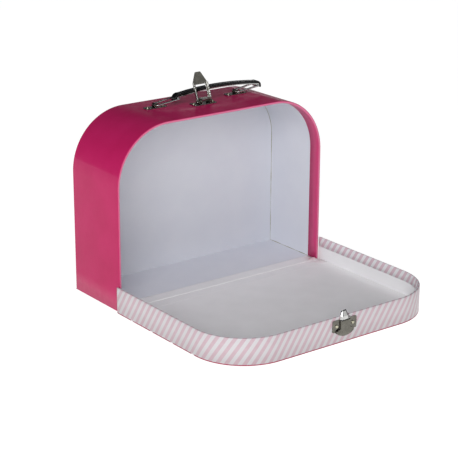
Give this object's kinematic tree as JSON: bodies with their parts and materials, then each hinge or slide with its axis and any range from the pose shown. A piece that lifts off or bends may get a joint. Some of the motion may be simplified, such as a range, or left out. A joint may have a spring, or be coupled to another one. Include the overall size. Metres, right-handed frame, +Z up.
{
  "type": "small suitcase-style storage box",
  "caption": "Small cardboard carrying case with rounded top corners, a hinged rimmed lid, a fold-over metal latch and a swinging carrying handle.",
  "frame": {"origin": "centre of the body's underside, on the surface the case stands on", "axes": "+Z up; -Y from the body towards the open lid; +X across the width, to the right when looking into the case"},
  "size_m": [0.256, 0.2662, 0.2126],
  "materials": {
    "greyboard": "matte",
    "pink_paper": "gloss",
    "white_lining": "matte",
    "hinge_paper": "matte",
    "striped_paper": "satin",
    "lid_face_paper": "gloss",
    "nickel_plate": "polished",
    "spring_steel": "polished",
    "black_plastic": "gloss"
  },
  "bodies": {
    "case": {"wall_board": "greyboard", "back_board": "greyboard", "floor_board": "greyboard", "wall_wrap": "pink_paper", "back_wrap": "pink_paper", "base_wrap": "pink_paper", "wall_lining": "white_lining", "back_lining": "white_lining", "floor_lining": "white_lining", "hinge_strip_body": "hinge_paper", "latch_base": "nickel_plate", "hasp_pin": "nickel_plate", "latch_rivets": "nickel_plate", "bracket_left": "nickel_plate", "bracket_right": "nickel_plate", "bracket_rivets": "nickel_plate", "top_washers": "nickel_plate"},
    "lid": {"lid_board": "greyboard", "rim_board": "greyboard", "lid_face_paper": "lid_face_paper", "rim_wrap": "striped_paper", "rim_lining": "white_lining", "lid_lining": "white_lining", "hinge_strip_lid": "hinge_paper", "catch_plate": "nickel_plate", "catch_tongue": "spring_steel", "catch_rivets": "nickel_plate", "catch_washers": "nickel_plate"},
    "hasp": {"hasp": "nickel_plate"},
    "link_left": {"link_left": "spring_steel"},
    "link_right": {"link_right": "spring_steel"},
    "grip": {"grip_strip": "spring_steel", "grip_sleeve": "black_plastic"}
  },
  "joints": [
    {"name": "lid_hinge", "type": "hinge", "parent": "case", "child": "lid", "pos_m": [0, -0.0409, 0.0027], "axis": [-1, 0, 0], "range_deg": [0, 90]},
    {"name": "hasp_pivot", "type": "hinge", "parent": "case", "child": "hasp", "pos_m": [0.0015, -0.005, 0.1846], "axis": [1, 0, 0], "range_deg": [0, 100]},
    {"name": "handle_swing", "type": "hinge", "parent": "case", "child": "link_left", "pos_m": [-0.0465, 0.011, 0.1845], "axis": [0, -1, 0], "range_deg": [0, 165]},
    {"name": "grip_pivot", "type": "hinge", "parent": "link_left", "child": "grip", "pos_m": [-0.02023, 0.011, 0.18796], "axis": [0, -1, 0], "range_deg": [-165, 0]},
    {"name": "right_link_pivot", "type": "hinge", "parent": "case", "child": "link_right", "pos_m": [0.0525, 0.011, 0.1845], "axis": [0, -1, 0], "range_deg": [0, 165]}
  ],
  "couplings": [
    {"joint": "grip_pivot", "follows": "handle_swing", "ratio": -1},
    {"joint": "right_link_pivot", "follows": "handle_swing", "ratio": 1}
  ]
}
